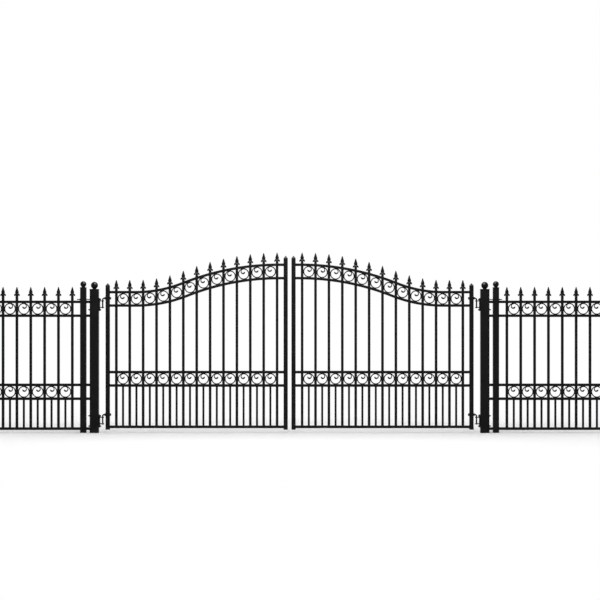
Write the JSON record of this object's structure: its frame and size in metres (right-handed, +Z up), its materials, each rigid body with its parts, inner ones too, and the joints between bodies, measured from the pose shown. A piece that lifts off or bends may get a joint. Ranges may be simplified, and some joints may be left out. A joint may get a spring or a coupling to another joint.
{
  "type": "driveway gate",
  "caption": "Arched double-leaf driveway gate of square pickets, spear heads and scroll rings, hinged on ball-capped posts with matching fence on each side.",
  "frame": {"origin": "centre of the left gate post's foot, at ground level", "axes": "+X along the gate from the left post to the right post, +Y from the road side to the house side, +Z up"},
  "size_m": [7.0296, 0.1, 1.9279],
  "materials": {
    "post_and_stile_tube": "black satin powder coat on square steel tube",
    "rail_bar": "black satin powder coat on punched steel rail",
    "picket_bar": "black satin powder coat on square picket bar",
    "scroll_bar": "black satin powder coat on bent flat bar",
    "spear_casting": "black satin coat on cast iron spear heads, slightly pebbled",
    "cap_casting": "black gloss to satin coat on ball caps",
    "hinge_steel": "black coat on forged hinge steel and nuts"
  },
  "bodies": {
    "posts_and_fence": {"left_gate_post": "post_and_stile_tube", "left_fence_post": "post_and_stile_tube", "left_end_post": "post_and_stile_tube", "left_hinge_brackets": "hinge_steel", "left_bracket_bolts": "hinge_steel", "left_fence_rails": "rail_bar", "left_fence_pickets": "picket_bar", "left_fence_short_pickets": "picket_bar", "left_fence_rings": "scroll_bar", "left_fence_spears": "spear_casting", "right_gate_post": "post_and_stile_tube", "right_fence_post": "post_and_stile_tube", "right_end_post": "post_and_stile_tube", "right_hinge_brackets": "hinge_steel", "right_bracket_bolts": "hinge_steel", "right_fence_rails": "rail_bar", "right_fence_pickets": "picket_bar", "right_fence_short_pickets": "picket_bar", "right_fence_rings": "scroll_bar", "right_fence_spears": "spear_casting", "gate_post_caps": "cap_casting", "fence_post_caps": "cap_casting"},
    "left_leaf": {"left_hinge_stile": "post_and_stile_tube", "left_meeting_stile": "post_and_stile_tube", "left_arch_rails": "rail_bar", "left_mid_rails": "rail_bar", "left_bottom_rail": "rail_bar", "left_pickets": "picket_bar", "left_short_pickets": "picket_bar", "left_arch_rings": "scroll_bar", "left_mid_rings": "scroll_bar", "left_spears": "spear_casting", "left_hinge_pins": "hinge_steel"},
    "right_leaf": {"right_hinge_stile": "post_and_stile_tube", "right_meeting_stile": "post_and_stile_tube", "right_arch_rails": "rail_bar", "right_mid_rails": "rail_bar", "right_bottom_rail": "rail_bar", "right_pickets": "picket_bar", "right_short_pickets": "picket_bar", "right_arch_rings": "scroll_bar", "right_mid_rings": "scroll_bar", "right_spears": "spear_casting", "right_hinge_pins": "hinge_steel"}
  },
  "joints": [
    {"name": "left_leaf_swing", "type": "hinge", "parent": "posts_and_fence", "child": "left_leaf", "pos_m": [0.088, 0, 0], "axis": [0, 0, 1], "range_deg": [-100, 100]},
    {"name": "right_leaf_swing", "type": "hinge", "parent": "posts_and_fence", "child": "right_leaf", "pos_m": [4.088, 0, 0], "axis": [0, 0, -1], "range_deg": [-100, 100]}
  ]
}
